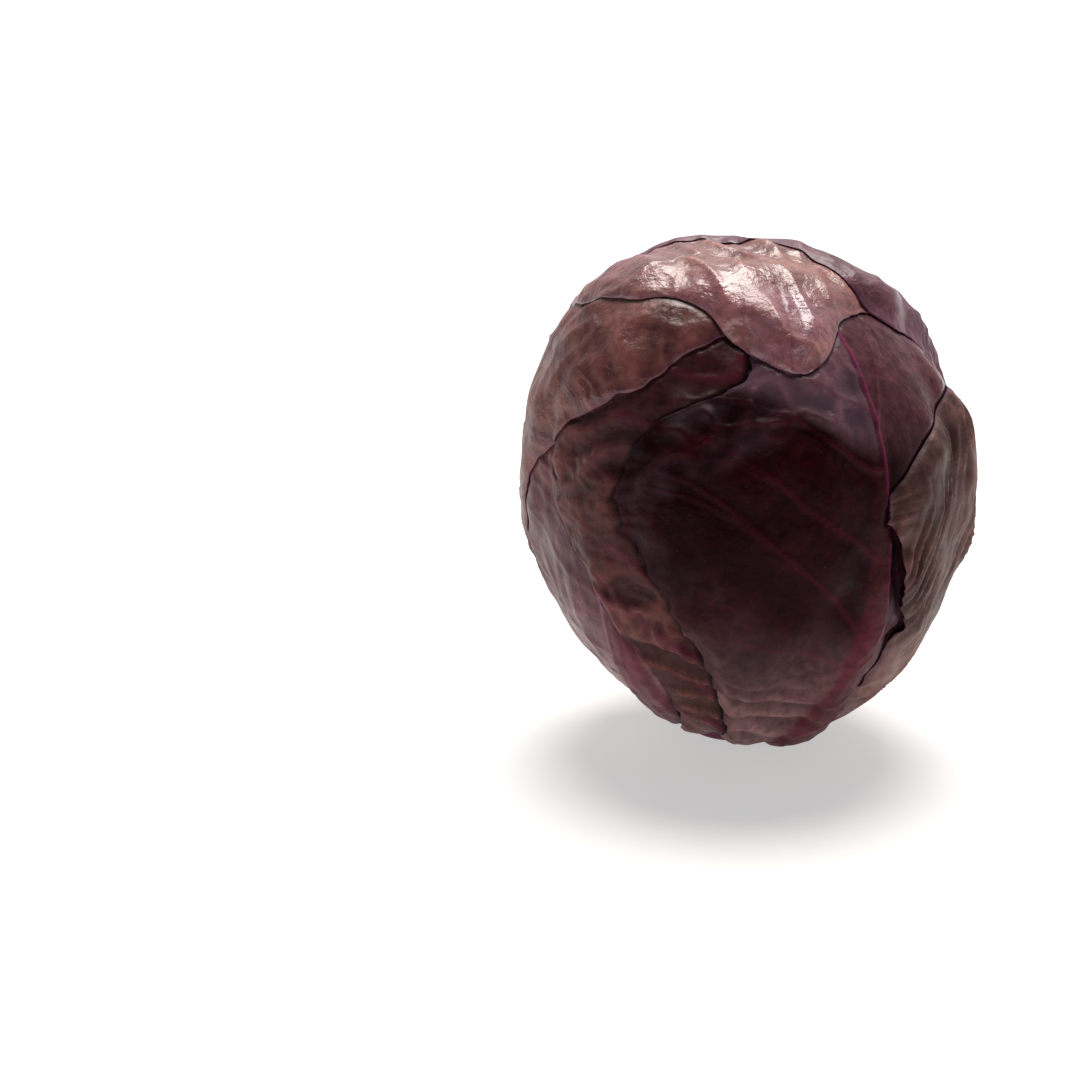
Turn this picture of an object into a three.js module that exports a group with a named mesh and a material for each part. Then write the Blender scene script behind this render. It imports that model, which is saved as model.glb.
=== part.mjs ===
// A whole head of red cabbage, trimmed flush at the stalk: a closed heart, a cut stalk, and ten wrapper
// leaves that clasp it and overlap one another. Millimetres, +Z up, and the front looks to -Y. The head stands
// on the stalk's cut end at z = 0, and the origin is under the middle of its outline.

import * as THREE from "three";

// Heart: an egg that is widest WIDEST_LEVEL above the cut, with a broad crown.
const HEART_RADIUS = 69;
const HEART_RISE = 75;
const HEART_DROP = 79;
const CROWN_BREADTH = 2.3; // exponent of the outline over the widest level, 2 being an ellipse
const WIDEST_LEVEL = 86;
const LEAN = 0.2; // the crown bulges to the left, and is lower on the right, by up to a third of this share
const CENTRE = new THREE.Vector3(0, 0, WIDEST_LEVEL);

// Stalk: a stub that fills a socket in the heart's underside.
const STALK_RADIUS = 16;
const STALK_NECK_RADIUS = 14;
const STALK_HEIGHT = 20;
const STALK_SIDES = 24;
const FIT_GAP = 0.35;

// Leaves
const BLADE = 1.0; // thickness of a blade away from its ribs
const VEIN_HEIGHT = 0.6; // side veins stand this far proud
const CLEARANCE = 0.95; // air between a leaf and the one inside it
const LAYER = BLADE + VEIN_HEIGHT + CLEARANCE;
const RIB_HALF_WIDTH = 5.5; // the midrib's keel at the cut, narrowing to the tip
const RIB_FADE = 1.4; // over 1: the keel sinks sooner on its way to the tip
const RIB_SPREAD = 7; // a leaf bridges the rib under it this much wider on each side
const TRIM_LEVEL = 0.5; // the leaf bases are cut off just above the stalk's end
const ATTACH_RADIUS = STALK_RADIUS + 1.6; // inner leaves end against the stalk's side
const SHOULDER = 6; // a leaf keeps its height this far past the margin under it
const SLOPE = 20; // and comes down over this distance
const SURFACE_RADIUS = 76; // turns angles on the head into lengths
const COLUMNS = 14; // across a leaf
const ROW_CROWDING = 1.2; // over 1: rows lie closer together near the cut
const TIP_GAP = 0.16; // radians of outline that the last row of a leaf spans, each side
const VEIN_CLIMB = 0.1; // how far side veins climb as they leave the midrib
const RUFFLE_REACH = 16; // how far in from a margin its ruffle is felt

const rad = THREE.MathUtils.degToRad;

// One entry for each leaf, from the innermost out. Angles are in degrees: longitude of the midrib (0 is the
// front, 90 the right), how far round the head from the stalk the leaf is widest and ends, and how far its
// blade reaches to the left and right. fullness over 1 makes a slender base and squareness over 2 a squarer
// top. wobble waves the outline, ruffle lifts the left and the right margin, and each cut takes a share off
// the outline round one place (a negative share is a lobe). rib is the midrib's height at the cut. rows is how
// many steps the leaf takes from the cut to the tip.
const LEAVES = [
  {
    name: "leaf_01_right_inner", longitude: 84, widest: 95, tip: 168, left: 62, right: 60,
    fullness: 1.1, squareness: 2.6, wobble: 0.03, ruffle: [0.3, 0.3], phase: 0.4, rib: 3.4, rows: 18,
    cuts: [],
  },
  {
    name: "leaf_02_back_left_inner", longitude: -143, widest: 98, tip: 170, left: 58, right: 62,
    fullness: 1.1, squareness: 2.6, wobble: 0.03, ruffle: [0.3, 0.3], phase: 1.7, rib: 3.4, rows: 18,
    cuts: [],
  },
  {
    name: "leaf_03_left_low", longitude: -37, widest: 92, tip: 150, left: 72, right: 52,
    fullness: 1.5, squareness: 2.6, wobble: 0.04, ruffle: [0.5, 0.5], phase: 2.9, rib: 5.0, rows: 18,
    cuts: [],
  },
  {
    name: "leaf_04_back_right", longitude: 146, widest: 98, tip: 165, left: 56, right: 60,
    fullness: 1.2, squareness: 2.6, wobble: 0.03, ruffle: [0.4, 0.4], phase: 4.1, rib: 3.6, rows: 19,
    cuts: [],
  },
  {
    name: "leaf_05_front_crumpled", longitude: 0, widest: 104, tip: 158, left: 56, right: 50,
    fullness: 2.5, squareness: 2.6, wobble: 0.03, ruffle: [0.5, 0.5], phase: 5.3, rib: 3.4, rows: 19,
    cuts: [],
  },
  {
    name: "leaf_06_front_main", longitude: 37.5, widest: 104, tip: 166, left: 68, right: 62,
    fullness: 1.35, squareness: 2.6, wobble: 0.012, ruffle: [0.6, 0.6], phase: 0.9, rib: 5.5, rows: 22,
    cuts: [{ at: 125, share: 0.4, width: 17 }],
  },
  {
    name: "leaf_07_left_over_crown", longitude: -118, widest: 150, tip: 210, left: 50, right: 55,
    fullness: 1.8, squareness: 2.6, wobble: 0.02, ruffle: [0.5, 0.5], phase: 2.2, rib: 4.0, rows: 26,
    cuts: [{ at: 50, share: 0.08, width: 14 }],
  },
  {
    name: "leaf_08_right_outer", longitude: 101, widest: 95, tip: 121, left: 61, right: 60,
    fullness: 0.95, squareness: 4, wobble: 0.02, ruffle: [2.4, 0.3], phase: 4.9, rib: 4.0, rows: 20,
    cuts: [
      { at: 226, share: 0.13, width: 4 },
      { at: 189, share: 0.05, width: 5 },
      { at: 96, share: 0.06, width: 7 },
    ],
  },
  {
    name: "leaf_09_crown_tongue", longitude: -165, widest: 140, tip: 205, left: 47, right: 43,
    fullness: 1.5, squareness: 2.8, wobble: 0.03, ruffle: [0.6, 0.6], phase: 3.6, rib: 3.6, rows: 27,
    cuts: [{ at: 91, share: -0.34, width: 16 }],
  },
  {
    name: "leaf_10_back_outer", longitude: 172, widest: 130, tip: 169, left: 58, right: 56,
    fullness: 1.2, squareness: 3.4, wobble: 0.03, ruffle: [0.9, 0.9], phase: 6.0, rib: 4.5, rows: 24,
    cuts: [{ at: 112, share: -0.48, width: 13 }],
  },
];
const BASE_SHARE = 0.22; // width of a leaf at the cut, as a share of its widest

function smoothstep(t) {
  const x = Math.min(1, Math.max(0, t));
  return x * x * (3 - 2 * x);
}

// Distance from the centre to the heart's surface along a unit direction, first of the turned form.
function turnedRadius(direction) {
  const across = Math.hypot(direction.x, direction.y) / HEART_RADIUS;
  if (direction.z < 0) return 1 / Math.hypot(across, direction.z / HEART_DROP);
  const sum = across ** CROWN_BREADTH + (direction.z / HEART_RISE) ** CROWN_BREADTH;
  return sum ** (-1 / CROWN_BREADTH);
}

function lean(direction) {
  return 1 - LEAN * direction.x * Math.max(0, direction.z) ** 3;
}

function heartRadius(direction) {
  return turnedRadius(direction) * lean(direction);
}

// The unit direction at an angle round from the stalk along the leaf's meridian, and one sideways from it.
function directionOf(leaf, round, sideways) {
  const longitude = rad(leaf.longitude);
  const out = Math.cos(sideways) * Math.sin(round);
  const side = Math.sin(sideways);
  return new THREE.Vector3(
    out * Math.sin(longitude) + side * Math.cos(longitude),
    -out * Math.cos(longitude) + side * Math.sin(longitude),
    -Math.cos(sideways) * Math.cos(round),
  );
}

function anglesOf(leaf, direction) {
  const longitude = rad(leaf.longitude);
  const out = direction.x * Math.sin(longitude) - direction.y * Math.cos(longitude);
  const side = direction.x * Math.cos(longitude) + direction.y * Math.sin(longitude);
  const sideways = Math.asin(Math.min(1, Math.max(-1, side)));
  let round = Math.atan2(out, -direction.z);
  if (round < rad(leaf.widest) - Math.PI) round += 2 * Math.PI;
  return { round, sideways };
}

// A leaf's own chart: x is -1 to 1 from margin to margin at its widest, y is -1 at the cut, 0 at its widest
// and 1 at the tip. omega goes round the outline, from -90 degrees at the cut up the right side to the tip at
// 90, and down the left side to 270.
function wobble(leaf, omega) {
  const slow = Math.sin(3 * omega + leaf.phase);
  const quick = Math.sin(8 * omega + 2.3 * leaf.phase);
  let share = 1 + leaf.wobble * (0.65 * slow + 0.35 * quick);
  for (const cut of leaf.cuts) {
    share -= cut.share * Math.exp(-(((omega - rad(cut.at)) / rad(cut.width)) ** 2));
  }
  return share;
}

function upperReach(leaf, omega) {
  const { squareness } = leaf;
  const corner = Math.abs(Math.cos(omega)) ** squareness + Math.abs(Math.sin(omega)) ** squareness;
  return corner ** (-1 / squareness) * wobble(leaf, omega);
}

function lowerHalfWidth(leaf, drop, omega) {
  const narrowing = Math.cos((Math.min(1, drop) * Math.PI) / 2) ** leaf.fullness;
  return (BASE_SHARE + (1 - BASE_SHARE) * narrowing) * wobble(leaf, omega);
}

function marginPoint(leaf, omega) {
  if (omega >= 0 && omega <= Math.PI) {
    const reach = upperReach(leaf, omega);
    return { x: reach * Math.cos(omega), y: reach * Math.sin(omega) };
  }
  const isRight = omega < 0;
  const drop = (isRight ? -omega : omega - Math.PI) / (Math.PI / 2);
  const half = lowerHalfWidth(leaf, drop, omega);
  return { x: isRight ? half : -half, y: -drop };
}

// Row share along the leaf and column share across it, -1 to 1, to the chart. Rows climb as side veins do.
function chartPoint(leaf, along, across) {
  const climbed = (along + VEIN_CLIMB * Math.sin(Math.PI * along)) * (Math.PI - TIP_GAP);
  const omega = across > 0 ? -Math.PI / 2 + climbed : (3 * Math.PI) / 2 - climbed;
  const edge = marginPoint(leaf, omega);
  const tip = upperReach(leaf, Math.PI / 2);
  const spine = -1 + (1 + tip) * along;
  const share = Math.abs(across);
  return { x: share * edge.x, y: spine + (edge.y - spine) * share ** 1.2 };
}

// Signed distance outside a leaf's margin, in millimetres.
function outsideMargin(leaf, { round, sideways }) {
  const half = rad(sideways > 0 ? leaf.right : leaf.left);
  const x = sideways / half;
  const above = round - rad(leaf.widest);
  if (above >= 0) {
    const rise = rad(leaf.tip - leaf.widest);
    const omega = Math.atan2(above / rise, x);
    const margin = upperReach(leaf, omega) * Math.hypot(half * Math.cos(omega), rise * Math.sin(omega));
    return (Math.hypot(sideways, above) - margin) * SURFACE_RADIUS;
  }
  const drop = -above / rad(leaf.widest - 15);
  const omega = sideways > 0 ? (-drop * Math.PI) / 2 : Math.PI + (drop * Math.PI) / 2;
  const beside = Math.abs(x) - lowerHalfWidth(leaf, drop, omega);
  return Math.max(beside * half, (drop - 1) * rad(leaf.widest - 15)) * SURFACE_RADIUS;
}

// The midrib's keel, strongest at the cut. Outer leaves lie over a form that is `spread` wider on each side.
function keel(leaf, { round, sideways }, spread) {
  const share = Math.min(1, Math.max(0, round / rad(leaf.tip)));
  const height = leaf.rib * (1 - share) ** RIB_FADE;
  const halfWidth = 1 + RIB_HALF_WIDTH * (1 - share) + spread;
  return height * Math.exp(-(((sideways * SURFACE_RADIUS) / halfWidth) ** 2));
}

function ruffle(leaf, angles, outside) {
  const near = Math.exp(-((Math.min(0, outside) / RUFFLE_REACH) ** 2));
  const wave = 0.55 + 0.45 * Math.sin(14 * angles.round + 9 * angles.sideways + leaf.phase);
  const [left, right] = leaf.ruffle;
  const lift = left + (right - left) * smoothstep(0.5 + angles.sideways);
  return lift * near * wave * smoothstep((angles.round - rad(20)) / rad(25));
}

// Height over the heart at which leaf number `order` lies: everything inside it, one layer for each.
function underside(order, direction) {
  let height = CLEARANCE;
  for (const leaf of LEAVES.slice(0, order)) {
    const angles = anglesOf(leaf, direction);
    const outside = outsideMargin(leaf, angles);
    const cover = 1 - smoothstep((outside - SHOULDER) / SLOPE);
    if (cover > 0) height += cover * (LAYER + keel(leaf, angles, RIB_SPREAD) + ruffle(leaf, angles, outside));
  }
  return height;
}

// A point of a leaf's inner face (depth 0) or outer face (depth 1).
function leafPoint(order, along, across, depth) {
  const leaf = LEAVES[order];
  const { x, y } = chartPoint(leaf, along ** ROW_CROWDING, across);
  const sideways = x * rad(x > 0 ? leaf.right : leaf.left);
  const isVein = Math.round(along * leaf.rows) % 2 === 1 && Math.abs(across) < 0.98;
  const widest = rad(leaf.widest);
  let start = rad(16);
  let round = widest;
  let distance = 0;
  let direction;
  // The cut angle depends on the height there, so it settles over a few turns.
  for (let turn = 0; turn < 8; turn += 1) {
    round = y > 0 ? widest + y * rad(leaf.tip - leaf.widest) : widest + y * (widest - start);
    direction = directionOf(leaf, round, sideways);
    const angles = { round, sideways };
    let height = underside(order, direction) + ruffle(leaf, angles, outsideMargin(leaf, angles));
    if (depth) height += BLADE + keel(leaf, angles, 0);
    if (depth && isVein) height += VEIN_HEIGHT * (1 - across ** 4) * Math.sin(Math.PI * along);
    distance = heartRadius(direction) + height;
    const toTrim = Math.acos(Math.min(1, (WIDEST_LEVEL - TRIM_LEVEL) / (distance * Math.cos(sideways))));
    start = Math.max(toTrim, Math.asin(ATTACH_RADIUS / distance));
  }
  distance = Math.min(distance, (WIDEST_LEVEL - TRIM_LEVEL) / Math.max(-direction.z, 0.01));
  return direction.multiplyScalar(distance).add(CENTRE);
}

// Distance from the centre to the middle of the line between two points.
function bridge(a, b) {
  return a.clone().add(b).divideScalar(2).distanceTo(CENTRE);
}

// A closed shell from a grid of points on each face, joined round the margin. Each cell is split, alike on
// both faces, along the diagonal that bulges out more.
function leafGeometry(order) {
  const { rows } = LEAVES[order];
  const points = [];
  const index = [];
  const wide = COLUMNS + 1;
  const perFace = wide * (rows + 1);
  for (const depth of [0, 1]) {
    for (let row = 0; row <= rows; row += 1) {
      for (let column = 0; column <= COLUMNS; column += 1) {
        const g = (2 * column) / COLUMNS - 1;
        const across = Math.sign(g) * Math.abs(g) ** 1.15;
        points.push(leafPoint(order, row / rows, across, depth));
      }
    }
  }
  const at = (depth, row, column) => depth * perFace + row * wide + column;
  for (let row = 0; row < rows; row += 1) {
    for (let column = 0; column < COLUMNS; column += 1) {
      const corners = [at(0, row, column), at(0, row, column + 1)];
      corners.push(at(0, row + 1, column + 1), at(0, row + 1, column));
      const [p, q, r, s] = corners.map((i) => points[i]);
      if (bridge(p, r) <= bridge(q, s)) corners.push(corners.shift());
      const [a, b, c, d] = corners;
      index.push(a, c, b, a, d, c);
      index.push(...[a, b, c, a, c, d].map((i) => i + perFace));
    }
  }
  const rim = [];
  for (let column = 0; column < COLUMNS; column += 1) rim.push([0, column]);
  for (let row = 0; row < rows; row += 1) rim.push([row, COLUMNS]);
  for (let column = COLUMNS; column > 0; column -= 1) rim.push([rows, column]);
  for (let row = rows; row > 0; row -= 1) rim.push([row, 0]);
  rim.forEach(([row, column], i) => {
    const [nextRow, nextColumn] = rim[(i + 1) % rim.length];
    const [a, b] = [at(0, row, column), at(0, nextRow, nextColumn)];
    const [c, d] = [at(1, nextRow, nextColumn), at(1, row, column)];
    index.push(a, b, c, a, c, d);
  });
  return new THREE.BufferGeometry().setFromPoints(points).setIndex(index);
}

// The heart is turned about the axis, from the socket's roof out and up to the crown, and then leans.
function heartGeometry() {
  const socketRadius = STALK_RADIUS + FIT_GAP;
  const socketRoof = STALK_HEIGHT + FIT_GAP;
  const floor = WIDEST_LEVEL - HEART_DROP * Math.sqrt(1 - (socketRadius / HEART_RADIUS) ** 2);
  const profile = [
    new THREE.Vector2(0, socketRoof),
    new THREE.Vector2(STALK_NECK_RADIUS + FIT_GAP, socketRoof),
    new THREE.Vector2(socketRadius, floor),
  ];
  const steps = 14;
  const first = Math.atan2(socketRadius, WIDEST_LEVEL - floor);
  for (let i = 1; i < steps; i += 1) {
    const angle = first + ((Math.PI - first) * i) / steps;
    const direction = new THREE.Vector3(Math.sin(angle), 0, -Math.cos(angle));
    const distance = turnedRadius(direction);
    profile.push(new THREE.Vector2(distance * direction.x, WIDEST_LEVEL + distance * direction.z));
  }
  profile.push(new THREE.Vector2(0, WIDEST_LEVEL + HEART_RISE));
  const geometry = new THREE.LatheGeometry(profile, 28).rotateX(Math.PI / 2);
  const { position } = geometry.attributes;
  for (let i = 0; i < position.count; i += 1) {
    const point = new THREE.Vector3().fromBufferAttribute(position, i).sub(CENTRE);
    point.multiplyScalar(lean(point.clone().normalize())).add(CENTRE);
    position.setXYZ(i, point.x, point.y, point.z);
  }
  return geometry;
}

function stalkGeometry() {
  return new THREE.CylinderGeometry(STALK_NECK_RADIUS, STALK_RADIUS, STALK_HEIGHT, STALK_SIDES)
    .rotateX(Math.PI / 2)
    .translate(0, 0, STALK_HEIGHT / 2);
}

const leafPurple = { color: 0x3d1624, roughness: 0.42, metalness: 0 };
const driedLeaf = { color: 0x5a3a35, roughness: 0.62, metalness: 0 };
const heartPurple = { color: 0x54203d, roughness: 0.5, metalness: 0 };
const cutStalk = { color: 0xc9b4a0, roughness: 0.7, metalness: 0 };

const head = new THREE.Group();

function add(name, geometry, look) {
  const mesh = new THREE.Mesh(geometry, new THREE.MeshStandardMaterial(look));
  mesh.name = name;
  head.add(mesh);
}

add("stalk", stalkGeometry(), cutStalk);
add("heart", heartGeometry(), heartPurple);
LEAVES.forEach((leaf, order) => {
  const look = leaf.name.includes("outer") ? driedLeaf : leafPurple;
  add(leaf.name, leafGeometry(order), look);
});

// The origin goes under the middle of the head's outline.
const outline = new THREE.Box3().setFromObject(head);
const middle = outline.getCenter(new THREE.Vector3());
head.children.forEach((mesh) => mesh.geometry.translate(-middle.x, -middle.y, 0));

export default head;
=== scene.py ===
"""The looks of a whole head of red cabbage: fine leaves with ribs, veins, wrinkles and waxy bloom over the
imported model's leaves, a plain pale floor and soft light from above. Lengths are millimetres until a mesh is
made."""

import math

import bpy
import numpy as np
from mathutils import Matrix, Vector


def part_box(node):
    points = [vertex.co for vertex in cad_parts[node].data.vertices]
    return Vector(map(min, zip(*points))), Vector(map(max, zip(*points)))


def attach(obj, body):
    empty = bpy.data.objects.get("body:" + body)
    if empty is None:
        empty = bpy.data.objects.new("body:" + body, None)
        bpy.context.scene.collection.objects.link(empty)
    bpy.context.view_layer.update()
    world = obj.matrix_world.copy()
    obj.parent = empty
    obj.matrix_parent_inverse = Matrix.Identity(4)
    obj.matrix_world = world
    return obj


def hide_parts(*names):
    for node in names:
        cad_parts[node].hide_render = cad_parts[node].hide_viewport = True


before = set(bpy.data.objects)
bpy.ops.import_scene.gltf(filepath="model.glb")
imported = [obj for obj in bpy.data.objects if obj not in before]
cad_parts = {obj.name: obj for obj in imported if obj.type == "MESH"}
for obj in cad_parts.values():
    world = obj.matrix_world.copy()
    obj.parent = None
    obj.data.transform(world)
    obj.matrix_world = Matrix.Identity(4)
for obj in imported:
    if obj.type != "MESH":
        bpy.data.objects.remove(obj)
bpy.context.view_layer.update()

# The head's form, as in the part's source
HEART_RADIUS = 69.0
HEART_RISE = 75.0
HEART_DROP = 79.0
CROWN_BREADTH = 2.3
WIDEST_LEVEL = 86.0
LEAN = 0.2
STALK_RADIUS = 16.0
STALK_NECK_RADIUS = 14.0
STALK_HEIGHT = 20.0
FIT_GAP = 0.35
BLADE = 1.0
VEIN_HEIGHT = 0.6
CLEARANCE = 0.95
LAYER = BLADE + VEIN_HEIGHT + CLEARANCE
RIB_HALF_WIDTH = 5.5
RIB_FADE = 1.4
RIB_SPREAD = 7.0
TRIM_LEVEL = 0.5
ATTACH_RADIUS = STALK_RADIUS + 1.6
SHOULDER = 6.0
SLOPE = 20.0
SURFACE_RADIUS = 76.0
VEIN_CLIMB = 0.1
RUFFLE_REACH = 16.0
BASE_SHARE = 0.22
TIP_GAP = 0.03

# The fine leaves
FINE_BLADE = 0.9
EDGE_THICKNESS = 0.4  # a blade thins to this at its margin
EDGE_REACH = 3.0  # over this distance
FINE_GAP = 0.12  # air under a margin that lies close
HUG_REACH = 9.0  # how far in from the margin a leaf is drawn down on what lies under it
GROOVE_WIDTH = 1.3  # beside the margin of a leaf, the one under it is dented and painted near black as shade
GROOVE_DEPTH = 0.9
DIRECTION_STEPS = 400  # from pole to pole, on the map of the surface so far
END_CROWDING = math.radians(2)  # the rows of a leaf crowd over about this angle before its lower end

# Camera: the photograph's viewing height and the place of the head in its 1080 by 1080 frame
FRAME_PIXELS = 1080.0
LENS = 85.0
SENSOR = 36.0
VIEW_HEIGHT = math.radians(15.0)
CAMERA_DISTANCE = 885.0
HEAD_RIGHT_OF_CENTRE = 199.0
HEAD_OVER_CENTRE = 48.0

MM = 0.001


class Leaf:
    """One wrapper leaf. Angles come in degrees and are kept in radians.

    Round the head from the cut up, a leaf is widest at `widest` and ends at `tip`. It reaches `left` and
    `right` of its midrib, which is `rib` high at the cut. `fullness` narrows it below, and `squareness` squares
    it above. A cut is (place round the outline, depth as a share, width), and a negative depth is a lobe.
    `look` holds what the solids leave out: the strength of each kind of relief, how closely each side hugs
    what lies under it, and how strongly the leaf under it is dented beside its margin and painted near black
    there as shade, left and right."""

    def __init__(self, node, longitude, widest, tip, left, right, fullness, squareness, wobble, ruffle, phase,
                 rib, cuts=(), veins=(), slot="leaf", rows=150, columns=110, **look):
        self.node = node
        self.longitude = math.radians(longitude)
        self.widest = math.radians(widest)
        self.tip = math.radians(tip)
        self.left = math.radians(left)
        self.right = math.radians(right)
        self.fullness = fullness
        self.squareness = squareness
        self.wobble = wobble
        self.ruffle = ruffle
        self.phase = phase
        self.rib = rib
        self.cuts = [tuple(cut) for cut in cuts]
        self.veins = list(veins)
        self.slot = slot
        self.rows = rows
        self.columns = columns
        self.look = look


# A vein is (round at the midrib, round at its end, sideways at its end, height), in degrees and millimetres.
MAIN_VEINS = [
    (34, 33, -30, 0.35), (44, 43, -38, 0.6), (57, 67, -50, 0.6), (66, 133, -60, 0.8), (84, 142, -52, 0.35),
    (108, 140, -38, 1.4), (122, 152, -34, 0.5), (40, 50, 42, 0.5), (58, 84, 56, 0.5), (78, 112, 60, 0.45),
    (98, 134, 52, 0.5), (117, 153, 13, 0.7), (128, 150, 34, 0.4),
]

LEAVES = [
    Leaf("leaf_01_right_inner", 84, 95, 168, 62, 60, 1.1, 2.6, 0.03, (0.3, 0.3), 0.4, 3.4,
         rows=90, columns=70, blister=0.4, tone="inner"),
    Leaf("leaf_02_back_left_inner", -143, 98, 170, 58, 62, 1.1, 2.6, 0.03, (0.3, 0.3), 1.7, 3.4,
         rows=90, columns=70, blister=0.4, tone="inner"),
    Leaf("leaf_03_left_low", -37, 92, 150, 72, 52, 1.5, 2.6, 0.04, (0.5, 0.5), 2.9, 5.0,
         rows=190, columns=150, tone="left_low",
         blister=0.4, wrinkle=0.3, steep=(1.0, 0.8), rib_wide=(1.5, 1.4)),
    Leaf("leaf_04_back_right", 146, 98, 165, 56, 60, 1.2, 2.6, 0.03, (0.4, 0.4), 4.1, 3.6,
         rows=90, columns=70, blister=0.4, tone="inner"),
    Leaf("leaf_05_front_crumpled", 0, 104, 158, 56, 50, 2.5, 2.6, 0.03, (0.5, 0.5), 5.3, 3.4,
         rows=200, columns=150, tone="crumpled",
         crumple=3.4, blister=0.4, hug=(0.5, 0.95), groove_shade=(1.0, 0.3), fray=0.02),
    Leaf("leaf_06_front_main", 37.5, 104, 166, 68, 62, 1.35, 2.6, 0.012, (0.6, 0.6), 0.9, 5.5,
         cuts=[(125, 0.4, 17)], veins=MAIN_VEINS, rows=220, columns=180, tone="main",
         blister=0.4, crown_blister=1.7, base_ripple=1.1, painted_light_over=(108, 140, -38), painted_light_right=0.7,
         rib_wide=(1.35, 1.0), crest=0.8, steep=(0.45, 1.0), vein_width=0.5, vein_tint=0.5,
         hug=(0.88, 0.95), groove_shade=(1.0, 0.3), fray=0.02, net=0.15),
    Leaf("leaf_07_left_over_crown", -118, 150, 210, 50, 55, 1.8, 2.6, 0.02, (0.5, 0.5), 2.2, 4.0,
         cuts=[(50, 0.08, 14)], rows=220, columns=130, tone="left",
         blister=0.45, wrinkle=0.5, crinkle=0.3, vein_width=0.6, vein_rise=1.5, vein_tint=1.0, net=0.9),
    Leaf("leaf_08_right_outer", 101, 95, 121, 61, 60, 0.95, 4.0, 0.02, (2.4, 0.3), 4.9, 4.0,
         cuts=[(226, 0.13, 4), (189, 0.05, 5), (96, 0.06, 7)],
         slot="leaf_weathered", rows=190, columns=170, tone="weathered",
         pleat=2.2, blister=0.2, vein_width=0.6, vein_rise=0.25, vein_tint=0.25,
         hug=(0.15, 0.95), free=(56, 90), groove_shade=(0.9, 0.3), fray=0.014),
    Leaf("leaf_09_crown_tongue", -165, 140, 205, 47, 43, 1.5, 2.8, 0.03, (0.6, 0.6), 3.6, 3.6,
         cuts=[(91, -0.34, 16)], rows=220, tone="crown",
         blister=0.5, wrinkle=0.9, crinkle=0.5, vein_width=0.7, vein_tint=0.8, net=0.8, groove_shade=(0.5, 0.7)),
    Leaf("leaf_10_back_outer", 172, 130, 169, 58, 56, 1.2, 3.4, 0.03, (0.9, 0.9), 6.0, 4.5,
         cuts=[(112, -0.48, 13)], slot="leaf_weathered", rows=200, columns=125, tone="back",
         blister=0.5, wrinkle=0.4, crinkle=0.25, vein_width=0.6, vein_rise=1.5, vein_tint=1.0, net=0.7,
         groove_shade=(0.3, 0.45)),
]

# Where the stalk stands in the shared frame: the head's axis
low, high = (np.array(corner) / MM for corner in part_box("stalk"))
CENTRE = np.array([(low[0] + high[0]) / 2, (low[1] + high[1]) / 2, WIDEST_LEVEL])


def smoothstep(t):
    x = np.clip(t, 0.0, 1.0)
    return x * x * (3 - 2 * x)


def waves(points, size, seed, count=18):
    """A smooth random field of about unit strength whose features are `size` millimetres across."""
    rng = np.random.default_rng(seed)
    total = np.zeros(len(points))
    for _ in range(count):
        axis = rng.normal(size=points.shape[1])
        axis *= rng.uniform(0.55, 1.45) * math.pi / (size * np.linalg.norm(axis))
        total += np.sin(points @ axis + rng.uniform(0, 2 * math.pi))
    return total / math.sqrt(count / 2)


def turned_radius(d):
    across = np.hypot(d[:, 0], d[:, 1]) / HEART_RADIUS
    below = 1 / np.hypot(across, d[:, 2] / HEART_DROP)
    rise = np.maximum(d[:, 2], 0) / HEART_RISE
    over = (across ** CROWN_BREADTH + rise ** CROWN_BREADTH + 1e-12) ** (-1 / CROWN_BREADTH)
    return np.where(d[:, 2] < 0, below, over)


def lean(d):
    return 1 - LEAN * d[:, 0] * np.maximum(0, d[:, 2]) ** 3


def heart_radius(d):
    return turned_radius(d) * lean(d)


def direction_of(leaf, around, sideways):
    out = np.cos(sideways) * np.sin(around)
    side = np.sin(sideways)
    up = -np.cos(sideways) * np.cos(around)
    sine, cosine = math.sin(leaf.longitude), math.cos(leaf.longitude)
    return np.stack([out * sine + side * cosine, side * sine - out * cosine, up], 1)


def angles_of(leaf, d):
    sine, cosine = math.sin(leaf.longitude), math.cos(leaf.longitude)
    out = d[:, 0] * sine - d[:, 1] * cosine
    sideways = np.arcsin(np.clip(d[:, 0] * cosine + d[:, 1] * sine, -1, 1))
    around = np.arctan2(out, -d[:, 2])
    around = np.where(around < leaf.widest - math.pi, around + 2 * math.pi, around)
    return around, sideways


def outline_share(leaf, omega):
    sway = 0.65 * np.sin(3 * omega + leaf.phase) + 0.35 * np.sin(8 * omega + 2.3 * leaf.phase)
    share = 1 + leaf.wobble * sway
    fray = 0.5 * np.arcsin(np.sin(17 * omega + 3 * leaf.phase))
    fray += 0.25 * np.arcsin(np.sin(31 * omega + leaf.phase))
    fray += 0.1 * np.sin(59 * omega)
    share = share + leaf.look.get("fray", 0.012) * fray
    for at, depth, width in leaf.cuts:
        share = share - depth * np.exp(-(((omega - math.radians(at)) / math.radians(width)) ** 2))
    return share


def upper_reach(leaf, omega):
    corner = np.abs(np.cos(omega)) ** leaf.squareness + np.abs(np.sin(omega)) ** leaf.squareness
    return corner ** (-1 / leaf.squareness) * outline_share(leaf, omega)


def lower_half_width(leaf, drop, omega):
    narrowing = np.cos(np.clip(drop, 0, 1) * math.pi / 2) ** leaf.fullness
    return (BASE_SHARE + (1 - BASE_SHARE) * narrowing) * outline_share(leaf, omega)


def margin_point(leaf, omega):
    reach = upper_reach(leaf, omega)
    is_right = omega < 0
    drop = np.where(is_right, -omega, omega - math.pi) / (math.pi / 2)
    half = lower_half_width(leaf, drop, omega)
    upper = (omega >= 0) & (omega <= math.pi)
    x = np.where(upper, reach * np.cos(omega), np.where(is_right, half, -half))
    y = np.where(upper, reach * np.sin(omega), -drop)
    return x, y


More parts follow.
